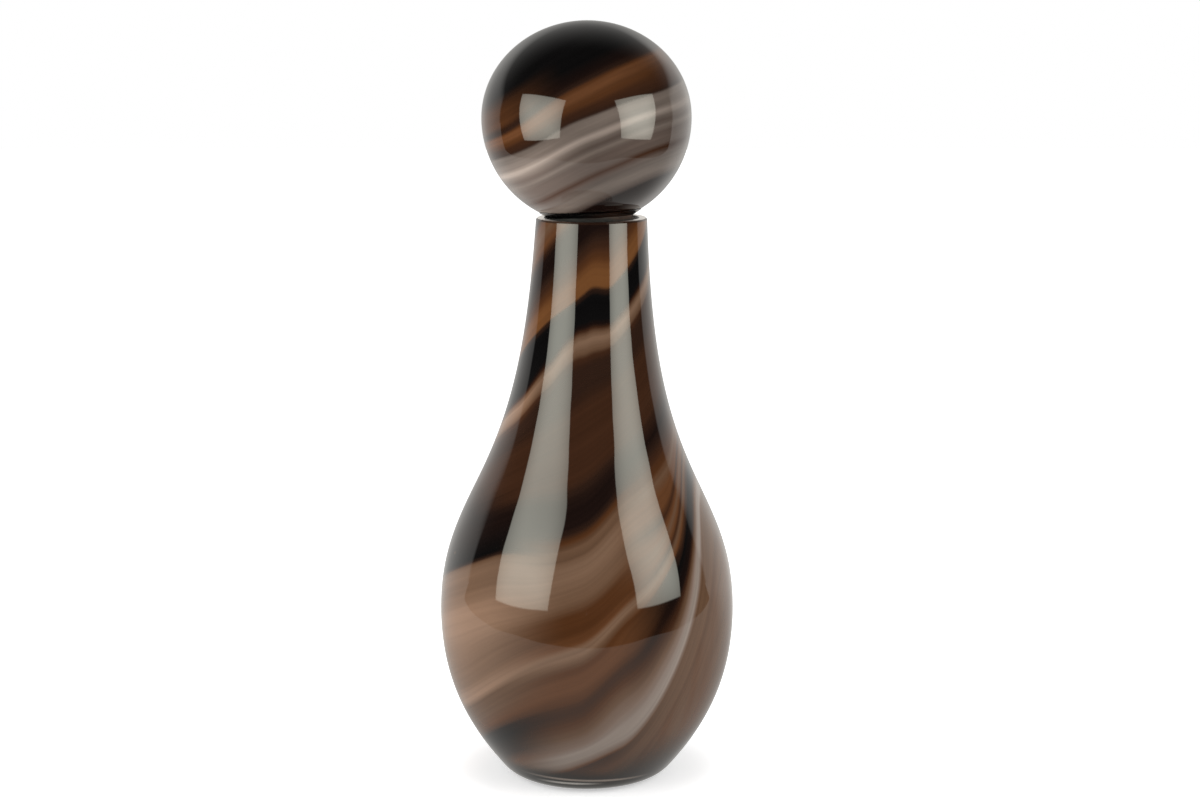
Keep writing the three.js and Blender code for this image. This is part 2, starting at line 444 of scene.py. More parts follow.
def lean_at(sizes, height):
    """How far the neck has moved to the right at a height."""
    above = max(0.0, height - sizes.lean_start)
    return math.tan(sizes.neck_lean) * above * above / (above + sizes.lean_ease)


def sweep(start, leave, arrive, end, steps):
    """Points of a smooth curve between two ends, each with the handle that it leaves or arrives by."""
    first, last = Vector((*start, 0)), Vector((*end, 0))
    handles = first + Vector((*leave, 0)), last + Vector((*arrive, 0))
    return [(spot.x, spot.y) for spot in interpolate_bezier(first, *handles, last, steps + 1)]


def dome(centre, radius, half_height, begin, end, steps):
    """Points of an elliptical arc about a point on the axis, between two angles above the level."""
    angles = [begin + (end - begin) * step / steps for step in range(steps + 1)]
    return [(radius * math.cos(angle), centre + half_height * math.sin(angle)) for angle in angles]


def eased(outline, passes):
    """Evens out the bend where two curves of an outline meet, and leaves its ends."""
    for _ in range(passes):
        between = [
            ((before[0] + 2 * here[0] + after[0]) / 4, (before[1] + 2 * here[1] + after[1]) / 4)
            for before, here, after in zip(outline, outline[1:], outline[2:])
        ]
        outline = [outline[0], *between, outline[-1]]
    return outline


def pontil_outline(sizes):
    """The hollow in the foot, from the axis to its edge."""
    radius, depth = sizes.pontil_radius, sizes.pontil_depth
    reach = (radius * radius - depth * depth) / (2 * depth)
    edge = math.asin(reach / (reach + depth))
    return dome(-reach, reach + depth, reach + depth, math.pi / 2, edge, PONTIL_STEPS)


def bottle_outside(sizes):
    """From the foot's flat ring up to the bevel of the rim."""
    foot = (sizes.foot_radius, 0)
    heel = (sizes.foot_radius + sizes.heel_flare, sizes.heel_height)
    belly = (sizes.belly_radius, belly_height(sizes))
    shoulder = (sizes.shoulder_radius, shoulder_height(sizes))
    rim = (sizes.rim_radius, rim_height(sizes) - sizes.rim_bevel)
    along_heel = math.cos(sizes.heel_slope), math.sin(sizes.heel_slope)
    along_shoulder = -math.cos(sizes.shoulder_slope), math.sin(sizes.shoulder_slope)
    down_neck = math.tan(sizes.neck_taper), -1

    heel_out, heel_in = sizes.heel_flare * HEEL_HANDLES[0], sizes.heel_height * HEEL_HANDLES[1]
    belly_out, belly_in = (sizes.belly_rise * share for share in BELLY_HANDLES)
    shoulder_out, shoulder_in = (sizes.shoulder_rise * share for share in SHOULDER_HANDLES)
    neck_out, neck_in = (sizes.neck_rise * share for share in NECK_HANDLES)

    def handle(direction, reach):
        return direction[0] * reach, direction[1] * reach

    return [
        *sweep(foot, (heel_out, 0), handle(along_heel, -heel_in), heel, HEEL_STEPS),
        *sweep(heel, handle(along_heel, belly_out), (0, -belly_in), belly, BELLY_STEPS),
        *sweep(belly, (0, shoulder_out), handle(along_shoulder, -shoulder_in), shoulder, SHOULDER_STEPS),
        *sweep(shoulder, handle(along_shoulder, neck_out), handle(down_neck, neck_in), rim, NECK_STEPS),
    ]


def bottle_inside(sizes):
    """From the ground rim down to the middle of the floor."""
    slope, wall, rim = sizes.shoulder_slope, sizes.wall, rim_height(sizes)
    bore = bore_radius(sizes)
    floor = (sizes.floor_radius, sizes.base)
    belly = (sizes.belly_radius - wall, belly_height(sizes))
    shoulder = (
        sizes.shoulder_radius - wall * math.sin(slope),
        shoulder_height(sizes) - wall * math.cos(slope),
    )
    seat_end = (bore - sizes.seat_taper * sizes.seat_length, rim - sizes.seat_length)
    shoulder_reach = shoulder[1] - belly[1]
    neck_reach = seat_end[1] - shoulder[1]
    floor_out = ((belly[0] - floor[0]) * FLOOR_HANDLES[0], 0)
    belly_in = (0, (floor[1] - belly[1]) * FLOOR_HANDLES[1])
    belly_out, shoulder_in = (shoulder_reach * share for share in SHOULDER_HANDLES)
    shoulder_out, seat_in = (neck_reach * share for share in SEAT_HANDLES)
    before = (math.cos(slope) * shoulder_in, -math.sin(slope) * shoulder_in)
    after = (-math.cos(slope) * shoulder_out, math.sin(slope) * shoulder_out)
    upwards = [
        (0, sizes.base),
        *sweep(floor, floor_out, belly_in, belly, BELLY_STEPS),
        *sweep(belly, (0, belly_out), before, shoulder, SHOULDER_STEPS),
        *sweep(shoulder, after, (0, -seat_in), seat_end, NECK_STEPS),
        (bore - sizes.seat_taper * sizes.bore_chamfer, rim - sizes.bore_chamfer),
        (bore + sizes.bore_chamfer, rim),
        (sizes.rim_radius - sizes.rim_bevel, rim),
    ]
    return upwards[::-1]


def ball_middle(sizes):
    """Height of the ball's middle above the rim."""
    cut = math.acos(seam_radius(sizes) / sizes.ball_radius)
    return head_top(sizes) + sizes.seam_gap + sizes.ball_lower_half * math.sin(cut)


def ball_outline(sizes):
    """The hollow ball, its underside cut flat and drilled for the plug's peg. Heights are above the rim."""
    seam = head_top(sizes) + sizes.seam_gap
    cut = math.acos(seam_radius(sizes) / sizes.ball_radius)
    middle = ball_middle(sizes)
    hole = sizes.peg_radius + sizes.seam_gap
    cavity_radius = sizes.ball_radius - sizes.ball_wall
    cavity_floor = seam + sizes.ball_floor
    cavity_half = (middle + sizes.ball_upper_half - sizes.ball_wall - cavity_floor) / 2
    hole_angle = math.acos(hole / cavity_radius)
    cavity = (cavity_floor + cavity_half, cavity_radius, cavity_half)
    return [
        *dome(*cavity, math.pi / 2, -hole_angle, CAVITY_STEPS),
        (hole, seam),
        *dome(middle, sizes.ball_radius, sizes.ball_lower_half, -cut, 0, BALL_STEPS),
        *dome(middle, sizes.ball_radius, sizes.ball_upper_half, 0, math.pi / 2, BALL_STEPS),
    ]


def plug_outline(sizes):
    """A tapered end, a cone that spreads to the seam, and a peg into the ball. Heights are above the rim."""
    radius, depth, top = plug_radius(sizes), sizes.plug_depth, head_top(sizes)
    end = radius - sizes.seat_taper * depth
    return [
        (0, -depth),
        (end - sizes.plug_chamfer, -depth),
        (end, sizes.plug_chamfer - depth),
        (radius, sizes.head_lift),
        (seam_radius(sizes), top),
        (sizes.peg_radius, top),
        (sizes.peg_radius, top + sizes.peg_height),
        (0, top + sizes.peg_height),
    ]


# Shaping


def turned(name, outline):
    """Spins an outline that starts and ends on the axis into one closed piece of glass."""
    bpy.ops.object.select_all(action="DESELECT")
    bpy.ops.mesh.primitive_plane_add(size=MM)
    piece = bpy.context.object
    piece.name = name
    piece.data.name = name
    bpy.ops.object.mode_set(mode="EDIT")
    bpy.ops.mesh.merge(type="CENTER")
    spots = [Vector((max(radius, 0.0), 0, height)) for radius, height in outline]
    spots[0].x = 0
    spots[-1].x = 0
    bpy.ops.transform.translate(value=spots[0])
    for here, there in zip(spots, spots[1:]):
        step = there - here
        if step.length > LEAST_STEP:
            bpy.ops.mesh.extrude_region_move(TRANSFORM_OT_translate={"value": step})
    bpy.ops.mesh.select_all(action="SELECT")
    bpy.ops.mesh.spin(steps=ROUND_STEPS, angle=math.tau, center=(0, 0, 0), axis=(0, 0, 1))
    bpy.ops.mesh.select_all(action="SELECT")
    bpy.ops.mesh.remove_doubles(threshold=MERGE_GAP)
    bpy.ops.mesh.normals_make_consistent(inside=False)
    bpy.ops.object.mode_set(mode="OBJECT")
    bpy.ops.object.shade_smooth_by_angle(angle=SMOOTH_ANGLE)
    return piece


def leaned(piece, sizes):
    """Moves each level of the bottle to the right with the neck's lean."""
    most = lean_at(sizes, rim_height(sizes))
    group = piece.vertex_groups.new(name="lean")
    for corner in piece.data.vertices:
        group.add([corner.index], lean_at(sizes, corner.co.z) / most, "REPLACE")
    shift = piece.modifiers.new("lean", "DISPLACE")
    shift.direction = "X"
    shift.mid_level = 0
    shift.strength = most
    shift.vertex_group = group.name
    bpy.ops.object.modifier_apply(modifier=shift.name)
    piece.vertex_groups.clear()


def stopper_seat(sizes):
    """Where the stopper's rim height and axis lie: it rocks about the middle of its plug."""
    rock = rim_height(sizes) - sizes.plug_depth / 2
    pivot = Matrix.Translation((lean_at(sizes, rock), 0, rock))
    askew = Matrix.Rotation(-sizes.tilt_back, 4, "X") @ Matrix.Rotation(-sizes.tilt_side, 4, "Y")
    return pivot @ askew @ Matrix.Translation((0, 0, sizes.plug_depth / 2))


def seated(name, outline, sizes):
    """Turns a piece of the stopper and puts it in the neck, with its place in its mesh."""
    piece = turned(name, outline(sizes))
    piece.matrix_world = stopper_seat(sizes)
    bpy.ops.object.transform_apply(location=True, rotation=True, scale=True)
    return piece


def finished(piece, glass, body, node):
    """Gives a piece its glass and joins it to the frame."""
    piece.data.materials.append(glass)
    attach(piece, body)
    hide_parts(node)


# Glass


class Wire:
    """One value inside a material. Sums and products of wires add the Math nodes that work them out."""

    def __init__(self, bench, socket):
        self.bench = bench
        self.socket = socket

    def __add__(self, other):
        return self.bench.maths("ADD", self, other)

    def __sub__(self, other):
        return self.bench.maths("SUBTRACT", self, other)

    def __rsub__(self, other):
        return self.bench.maths("SUBTRACT", other, self)

    def __mul__(self, other):
        return self.bench.maths("MULTIPLY", self, other)

    def __truediv__(self, other):
        return self.bench.maths("DIVIDE", self, other)

    def __rtruediv__(self, other):
        return self.bench.maths("DIVIDE", other, self)

    __radd__ = __add__
    __rmul__ = __mul__


class Bench:
    """The nodes of one material or world, and the one way to add a node to them."""

    def __init__(self, owner):
        owner.use_nodes = True
        self.tree = owner.node_tree
        self.tree.nodes.clear()

    def add(self, kind, settings=None, sockets=None, output=None):
        """Adds a node: its kind, its settings, which are set first, then a value or wire for each socket."""
        node = self.tree.nodes.new(kind)
        for name, value in (settings or {}).items():
            if name == "stops":
                self.lay(node.color_ramp, value)
            elif name == "points":
                self.draw(node.mapping, value)
            else:
                setattr(node, name, value)
        for name, value in (sockets or {}).items():
            socket = self.find(node.inputs, name)
            if isinstance(value, Wire):
                self.tree.links.new(value.socket, socket)
            elif socket.type == "RGBA":
                socket.default_value = (*value, 1)
            else:
                socket.default_value = value
        shown = [socket for socket in node.outputs if socket.enabled]
        if not shown:
            return node
        return Wire(self, self.find(node.outputs, output) if output else shown[0])

    @staticmethod
    def find(sockets, name):
        if isinstance(name, int):
            return sockets[name]
        return next(socket for socket in sockets if socket.enabled and socket.name == name)

    @staticmethod
    def lay(ramp, stops):
        """Lays the stops of a colour ramp, which starts with two."""
        while len(ramp.elements) < len(stops):
            ramp.elements.new(0.5)
        for element, (place, colour) in zip(ramp.elements, stops):
            element.position = place
            element.color = (*colour, 1)

    @staticmethod
    def draw(mapping, points):
        """Draws a curve through points, which starts with two."""
        mapping.use_clip = False
        line = mapping.curves[0]
        while len(line.points) < len(points):
            line.points.new(0.5, 0.5)
        for point, place in zip(line.points, points):
            point.location = place
            point.handle_type = "AUTO_CLAMPED"
        mapping.update()

    def maths(self, operation, *values):
        return self.add("ShaderNodeMath", {"operation": operation}, dict(enumerate(values)))

    def ray(self, kind):
        """Is 1 for one kind of ray, such as those that the camera sees, and 0 for the others."""
        return self.add("ShaderNodeLightPath", output=f"Is {kind} Ray")

    def place(self):
        """Where a point of the piece lies, in millimetres."""
        spot = self.add("ShaderNodeTexCoord", output="Object")
        return self.add("ShaderNodeVectorMath", {"operation": "SCALE"}, {"Vector": spot, "Scale": TO_MM})

    def parts(self, vector):
        return [
            self.add("ShaderNodeSeparateXYZ", sockets={"Vector": vector}, output=name) for name in "XYZ"
        ]

    def vectors(self, operation, first, second, output="Vector"):
        return self.add("ShaderNodeVectorMath", {"operation": operation}, {0: first, 1: second}, output)

    def along(self, vector, direction):
        """How far a vector reaches along a direction."""
        return self.vectors("DOT_PRODUCT", vector, direction, "Value")

    def spot(self, x, y, z):
        return self.add("ShaderNodeCombineXYZ", sockets={"X": x, "Y": y, "Z": z})

    def rise(self, value, low, high):
        """Goes smoothly from 0 at the low end to 1 at the high end."""
        sockets = {"Value": value, "From Min": low, "From Max": high}
        return self.add("ShaderNodeMapRange", {"interpolation_type": "SMOOTHSTEP"}, sockets)

    def fade(self, value, low, high):
        """Goes smoothly from 1 at the low end to 0 at the high end."""
        return 1 - self.rise(value, low, high)

    def hump(self, value, middle, reach):
        """Is 1 near a middle value, and goes smoothly to 0 on both sides of it."""
        return self.fade(self.maths("ABSOLUTE", value - middle), *reach)

    def bend(self, value, points):
        return self.add("ShaderNodeFloatCurve", {"points": points}, {"Value": value})

    def layers(self, share, stops):
        return self.add("ShaderNodeValToRGB", {"stops": stops}, {"Fac": share}, "Color")

    def blend(self, first, second, share, way="MIX"):
        settings = {"data_type": "RGBA", "blend_type": way}
        return self.add("ShaderNodeMix", settings, {"Factor": share, "A": first, "B": second}, "Result")

    def cloud(self, vector, scale, detail=2.0):
        """Soft noise about 0.5."""
        sockets = {"Vector": vector, "Scale": scale, "Detail": detail}
        return self.add("ShaderNodeTexNoise", {"noise_dimensions": "3D"}, sockets, "Fac")

    def shade(self, value):
        """A grey colour from a value, for mixing."""
        return self.add("ShaderNodeCombineColor", sockets={"Red": value, "Green": value, "Blue": value})


def stops_for(layers, low, span, colours):
    """Ramp stops from layers of (height, colour name)."""
    return [((height - low) / span, getattr(colours, name)) for height, name in layers]


def new_material(name):
    """A material with nothing on its bench yet."""
    material = bpy.data.materials.new(name)
    return material, Bench(material)


def seeded(bench, spot, colour, colours, seeds):
    """Sets a few tiny pale bubbles into the glass, and strews others at random."""
    sockets = {"Vector": spot, "Scale": STREWN_SCALE, "Randomness": 1.0}
    settings = {"voronoi_dimensions": "3D", "feature": "F1"}
    near = bench.add("ShaderNodeTexVoronoi", settings, sockets, "Distance")
    chance = bench.add("ShaderNodeTexVoronoi", settings, sockets, "Color")
    pick = bench.parts(chance)[0]
    speck = bench.fade(near, *STREWN_SIZE) * bench.rise(pick, *STREWN_CHANCE)
    for place, radius in seeds:
        away = bench.vectors("DISTANCE", spot, place, "Value")
        speck = bench.maths("MAXIMUM", speck, bench.fade(away, radius * SEED_CORE, radius))
    return bench.blend(colour, colours.sand, speck * SEED_SHARE)


def ground_glass(bench, spot, colours):
    """The matt grey of ground glass, with a fine grain."""
    grain = bench.cloud(spot, GRAIN_SCALE, GRAIN_DETAIL)
    return bench.blend(colours.smoke, colours.frost_and_painted_light, bench.rise(grain, *GRAIN_EDGE))


def polish(bench, spot, colour, roughness, through=BLACK):
    """Closes a material: polished glass with the faint waves of a blown surface, and painted light let
    through as a glow.
    """
    wave = bench.cloud(spot, WAVE_SCALE, 1.0)
    sockets = {"Strength": WAVE_STRENGTH, "Distance": WAVE_DEPTH, "Height": wave}
    normal = bench.add("ShaderNodeBump", sockets=sockets)
    sockets = {"Base Color": colour, "Roughness": roughness, "IOR": GLASS_IOR, "Normal": normal}
    sockets = {**sockets, "Emission Color": through, "Emission Strength": LIP_PAINTED_GLOW}
    glass = bench.add("ShaderNodeBsdfPrincipled", sockets=sockets)
    bench.add("ShaderNodeOutputMaterial", sockets={"Surface": glass})


def upright(bench, spot, sizes):
    """The parts of a point of the bottle, and how far the neck leans there."""
    x, y, z = bench.parts(spot)
    above = bench.maths("MAXIMUM", z - sizes.lean_start * TO_MM, 0.0)
    lean = above * above / (above + sizes.lean_ease * TO_MM) * math.tan(sizes.neck_lean)
    return x, y, z, lean


def flow(bench, spot, x, y, z):
    """Where a point of the bottle lies in the marbling.

    Gives the layer, as that layer's height at the front; the turn from the front, and the turn past the start
    of the pull, in degrees; a mask that is 1 over the front and 0 at the back; and how far the layer droops.
    """
    turn = bench.maths("ARCTAN2", x, 0 - y) * math.degrees(1)
    level = z - turn * (PITCH / FULL_TURN)
    front = bench.hump(turn, 0, BACK_TURN)
    sag = bench.rise(0 - turn, *SAG_TURN) * bench.hump(level, SAG_LEVEL, SAG_REACH) * SAG_DEPTH
    left = bench.rise(0 - turn, *LEFT_BEND_TURN) * bench.bend(level, LEFT_BEND) - sag
    crest = bench.hump(turn, CREST_TURN, CREST_WIDTH) * bench.hump(level, CREST_LEVEL, CREST_REACH)
    droop = bench.rise(0 - turn, *DROOP_TURN) * bench.hump(level, DROOP_LEVEL, DROOP_REACH)
    droop = droop * front * DROOP_DEPTH
    past = bench.maths("WRAP", turn - PULL_START, FULL_TURN, 0.0)
    swing = bench.rise(past, *PULL_TURN) * bench.fade(past, *PULL_END)
    reach = z - bench.maths("SMOOTH_MIN", past + PULL_START, PULL_LAST_TURN, PULL_LAST_EASE) * PULL_SLOPE
    pulled = level - swing * bench.fade(reach, *PULL_TOP) * PULL_HEIGHT
    right = bench.rise(turn, *RIGHT_BEND_TURN) * bench.bend(pulled, RIGHT_BEND)
    wobble = (bench.cloud(spot, WOBBLE_SCALE, 1.0) - NOISE_MIDDLE) * WOBBLE_HEIGHT
    layer = pulled - (left + right) * front + droop - crest * CREST_HEIGHT + wobble
    fan = bench.rise(turn, *FAN_TURN) * bench.fade(turn, *FAN_END) * bench.fade(layer, *FAN_TOP)
    opened = bench.maths("MINIMUM", bench.maths("MAXIMUM", layer - FAN_FOOT, 0.0), FAN_REACH)
    layer = layer - opened * fan * FAN_SPREAD
    return layer, turn, past, front, droop


def bottle_glass(sizes, colours):
    """Smoky marbled glass: layers that wind up round the bottle, with fine threads along them."""
    material, bench = new_material("bottle glass")
    spot = bench.place()
    x, y, z, lean = upright(bench, spot, sizes)
    layer, turn, past, front, droop = flow(bench, spot, x - lean, y, z)

    wind = layer * (math.tau / PITCH)
    across, along = bench.maths("COSINE", wind), bench.maths("SINE", wind)
    broad, middle, fine = (
        bench.cloud(bench.spot(across * fineness, along * fineness, z * drift), 1.0)
        for fineness, drift in THREADS
    )

    # Layers
    frayed = layer + (middle - NOISE_MIDDLE) * THREAD_FRAY
    low = bench.maths("FRACT", (frayed - LOWER_START) / PITCH)
    high = bench.maths("FRACT", (frayed - UPPER_START) / PITCH)
    lower, to_left, to_right = (
        bench.layers(low, stops_for(layers, LOWER_START, PITCH, colours))
        for layers in (FRONT_LAYERS, LEFT_LAYERS, RIGHT_LAYERS)
    )
    left = bench.rise(0 - turn, *LEFT_LAYERS_TURN) * front
    right = bench.rise(turn, *RIGHT_LAYERS_TURN) * front
    lower = bench.blend(bench.blend(lower, to_left, left), to_right, right)
    upper = bench.layers(high, stops_for(UPPER_LAYERS, UPPER_START, PITCH, colours))
    side = bench.maths("MAXIMUM", bench.maths("SINE", turn * math.radians(1)), UPPER_EDGE_LEAST)
    colour = bench.blend(lower, upper, bench.rise(z - side * UPPER_EDGE_RISE, *UPPER_EDGE))

    # Brown glass under the pulled layers
    under = bench.fade(layer, *BROWN_LAYER) * bench.fade(past, *BROWN_TURN)
    strands = bench.cloud(bench.spot(turn * STRAND_FINENESS, z * STRAND_DRIFT, 0.0), 1.0, 3.0)
    brown = bench.blend(colours.rust, colours.walnut, bench.rise(strands, *STRAND_EDGE))
    colour = bench.blend(colour, brown, under)

    # Threads, paler glass to the left and in the droop, and painted shade at the foot
    threads = broad * THREAD_CONTRAST[0] + middle * THREAD_CONTRAST[1] + fine * THREAD_CONTRAST[2]
    pale = bench.rise(0 - turn, *PALE_TURN) * front * PALE_GAIN + PALE_GROUND
    strength = (threads + THREAD_GROUND) * (droop * DROOP_GAIN + pale)
    # Painted shade: the colour grows darker towards the foot
    foot = bench.rise(z, FOOT_SHADE_LOW - right * FOOT_SHADE_RIGHT_LOW, right * FOOT_SHADE_RIGHT_HIGH + FOOT_SHADE_HIGH)
    foot = foot * FOOT_SHADE_GAIN + FOOT_SHADE_LEAST
    colour = bench.blend(colour, bench.shade(strength * foot), 1.0, "MULTIPLY")

    # Heel: two lines of painted light
    heel = bench.hump(z + turn * HEEL_LIGHT_SLANT, HEEL_LIGHT_LINE, LINE_WIDTH)
    heel = heel * bench.hump(turn, 0, HEEL_LIGHT_TURN)
    glint = bench.hump(z, GLINT_LINE, LINE_WIDTH) * bench.hump(turn, GLINT_TURN, GLINT_REACH)
    # Painted light: a pale line and a glint are painted into the colour round the heel
    colour = bench.blend(colour, colours.pearl, heel * HEEL_LIGHT_SHARE)
    colour = bench.blend(colour, colours.frost_and_painted_light, glint * GLINT_SHARE)
    colour = seeded(bench, spot, colour, colours, BOTTLE_SEEDS)

    # Lip with painted light at its sides and painted shade on its bevel, ground seat and pontil
    rim, bore = rim_height(sizes) * TO_MM, bore_radius(sizes) * TO_MM
    seat_end = rim - sizes.seat_length * TO_MM
    pontil_edge, pontil_top = sizes.pontil_radius * TO_MM, sizes.pontil_depth * TO_MM
    out = bench.maths("SQRT", (x - lean) * (x - lean) + y * y)
    lip = bench.rise(z, rim - LIP_DEPTH[0], rim - LIP_DEPTH[1])
    beside = lip * bench.rise(bench.maths("ABSOLUTE", turn), *LIP_LIGHT_TURN)
    bevel = bench.rise(z, rim - BEVEL_SHADE_DEPTH[0], rim - BEVEL_SHADE_DEPTH[1])
    inner = bench.fade(out, bore + SEAT_SKIN[0], bore + SEAT_SKIN[1])
    seat = inner * bench.rise(z, seat_end - SEAT_EDGE, seat_end + SEAT_EDGE)
    pontil = bench.fade(z, pontil_top + PONTIL_SKIN[0], pontil_top + PONTIL_SKIN[1])
    pontil = pontil * bench.fade(out, pontil_edge - PONTIL_EDGE, pontil_edge + PONTIL_EDGE)
    ground = bench.maths("MAXIMUM", seat, pontil)
    # Painted shade darkens the rim's bevel, and painted light makes the lip's sides pale
    colour = bench.blend(colour, colours.umber, bevel * BEVEL_SHADE_SHARE)
    colour = bench.blend(colour, colours.frost_and_painted_light, beside * LIP_LIGHT_SHARE)
    colour = bench.blend(colour, ground_glass(bench, spot, colours), ground)
    # Painted light: the lip's sides glow with the frost colour
    through = bench.blend(BLACK, colours.frost_and_painted_light, beside)
    polish(bench, spot, colour, ground * GROUND_ROUGH + POLISHED, through)
    return material


def ball_glass(sizes, colours):
    """Marbled glass in flat layers that tip to the left."""
    material, bench = new_material("ball glass")
    spot = bench.place()
    middle = stopper_seat(sizes) @ Vector((0, 0, ball_middle(sizes)))
    tip = math.radians(BALL_LAYER_TILT)
    radius = sizes.ball_radius * TO_MM
    inner = bench.vectors("SUBTRACT", spot, middle * TO_MM)
    height = bench.along(inner, (-math.sin(tip) / radius, 0, math.cos(tip) / radius))
    right = bench.along(inner, (math.cos(tip) / radius, 0, math.sin(tip) / radius))
    depth = bench.along(inner, (0, 1 / radius, 0))
    left_side, right_side = bench.rise(0 - right, *BALL_LEFT), bench.rise(right, *BALL_RIGHT)
    height = height + left_side * BALL_LEFT_LIFT + right_side * BALL_RIGHT_LIFT + BALL_LIFT
    height = height - right * bench.rise(height, *BALL_CAP) * BALL_CAP_TIP
    wobble = bench.cloud(inner, BALL_WOBBLE_SCALE, 1.0) - NOISE_MIDDLE
    wide, deep = right * BALL_THREAD_DRIFT, depth * BALL_THREAD_DRIFT
    broad, fine = (bench.cloud(bench.spot(wide, deep, height * fineness), 1.0) for fineness in BALL_THREADS)

    height = height + wobble * BALL_FRAY + (broad - NOISE_MIDDLE) * BALL_FRAY
    held = bench.maths("MAXIMUM", bench.maths("MINIMUM", height, 1.0), -1.0)
    degrees = bench.maths("ARCSINE", held) * math.degrees(1)
    share = (degrees + RIGHT_ANGLE) / HALF_TURN
    colour = bench.layers(share, stops_for(BALL_LAYERS, -RIGHT_ANGLE, HALF_TURN, colours))
    glow = left_side * bench.rise(degrees, *BALL_GLOW_LOW) * bench.fade(degrees, *BALL_GLOW_HIGH)
    colour = bench.blend(colour, colours.chestnut, glow * BALL_GLOW_SHARE)
    grey = bench.rise(0 - height, *BALL_GREY)
    sides = left_side * BALL_GREY_GAIN * grey + left_side * BALL_LEFT_GAIN - right_side * BALL_RIGHT_LOSS
    threads = broad * BALL_THREAD_CONTRAST[0] + fine * BALL_THREAD_CONTRAST[1] + BALL_THREAD_GROUND
    colour = bench.blend(colour, bench.shade(threads * (sides + 1)), 1.0, "MULTIPLY")
    colour = seeded(bench, spot, colour, colours, BALL_SEEDS)
    polish(bench, spot, colour, POLISHED)
    return material


def plug_glass(sizes, colours):
    """Dark streaked glass: polished at the head, ground to a matt grey where it sits in the neck."""
    material, bench = new_material("plug glass")
    spot = bench.place()
    seat = stopper_seat(sizes)
    axis = (seat.to_3x3() @ Vector((0, 0, 1))).normalized()
    inner = bench.vectors("SUBTRACT", spot, seat.translation * TO_MM)
    height = bench.along(inner, axis)
    right = bench.along(inner, (1, 0, 0))
    depth = bench.along(inner, (0, PLUG_STREAK_WIDTH, 0))
    streak = bench.cloud(bench.spot(right * PLUG_STREAK_WIDTH, height * PLUG_STREAK_HEIGHT, depth), 1.0, 3.0)
    brown = bench.rise(streak, *PLUG_STREAK_EDGE) * bench.rise(right, *PLUG_BROWN_SIDE)
    colour = bench.blend(colours.black, colours.cocoa, brown)
    ground = bench.fade(height, *PLUG_GROUND_LEVEL)
    colour = bench.blend(colour, ground_glass(bench, spot, colours), ground)
    collar = bench.fade(height, *PLUG_COLLAR_LEVEL)
    polish(bench, spot, colour, collar * PLUG_COLLAR_ROUGH + PLUG_POLISHED)
    return material


# Studio

WHITE = (1, 1, 1)
CAMERA_PLACE = (0.00575, -1.0, 0.3444)
CAMERA_DIP = 10.042
CAMERA_LENS = 70.0
CAMERA_SENSOR = 36.0

# The two soft boxes, as (degrees to the right of the front, size), and what they share
BOXES = ((-50.3, (0.488, 0.47)), (56.4, (0.412, 0.445)))
BOX_DISTANCE = 0.525
BOX_HEIGHT = 0.297
BOX_TILT = 21.0
BOX_GLOW = 6.6
BOX_EDGE = (0.9, 1.0)
BOX_FALL = 0.45
BOX_TINT = (1.0, 0.995, 0.87)
LAMP_POWER = 1.7
AMBIENT = 0.5

# White paper behind, as the glass mirrors it. Its turns are sideways or upwards for each unit backwards
PAPER_TINT = (1.0, 0.98, 0.94)
PAPER_GLOW = 0.46
PAPER_SIDES_TURN = (0.0, 0.6)
PAPER_SIDES_GAIN = 0.36
PAPER_RIGHT_TURN = (-0.1, 0.1)
PAPER_RIGHT_GAIN = 0.16
PAPER_FALL_TURN = (0.9, 2.6)
PAPER_FALL = 0.2
PAPER_TOP = (0.45, 1.1)
LEAST_BACK = 0.001
CEILING_BACK = (0.05, 1.1)
CEILING_HEIGHT = (0.0, 0.5)
CEILING_GLOW = 0.5
DARK_GLOW = 0.01

# The floor's paper, in metres: its front edge bows round the bottle and spreads to the sides
STUDIO_FLOOR = 4.0
PAPER_FRONT = 0.305
PAPER_BOW = (0.25, 0.75)
PAPER_SPREAD = 0.3
PAPER_SPREAD_START = (0.1, 0.6)
PAPER_EDGE = (0.0, 0.008)
FLOOR_FAR = (0.0, 0.42)
FLOOR_SHINE = 0.55
FLOOR_BOUNCE = 0.4
# A painted shadow: for the camera the paper glows less within this reach of the bottle
PAINTED_SHADOW_REACH = (0.045, 0.085)
PAINTED_SHADOW_GLOW = 0.42
OPEN_GLOW = 0.42
MATT_PAPER = (0.4, 0.4, 0.4)
PALE_PAPER = (0.95, 0.95, 0.95)


def made_camera():
    facing = (math.radians(RIGHT_ANGLE - CAMERA_DIP), 0, 0)
    bpy.ops.object.camera_add(location=CAMERA_PLACE, rotation=facing)
    camera = bpy.context.object
    camera.name = "studio_camera"
    camera.data.lens = CAMERA_LENS
    camera.data.sensor_width = CAMERA_SENSOR
    camera.data.dof.use_dof = False
    bpy.context.scene.camera = camera


def soft_box_cloth(size):
    """White cloth, brightest in the middle, with a soft edge."""
    material, bench = new_material("soft box cloth")
    x, y, _ = bench.parts(bench.add("ShaderNodeTexCoord", output="Object"))
    right, up = x * (2 / size[0]), y * (2 / size[1])
    right, up = right * right, up * up
    off = bench.maths("SQRT", right * right + up * up)
    edge = bench.fade(bench.maths("MAXIMUM", right, up), *BOX_EDGE)
    sockets = {"Color": BOX_TINT, "Strength": edge * (1 - off * BOX_FALL) * BOX_GLOW}
    glow = bench.add("ShaderNodeEmission", sockets=sockets)
    bench.add("ShaderNodeOutputMaterial", sockets={"Surface": glow})
    material.cycles.emission_sampling = "NONE"
    return material


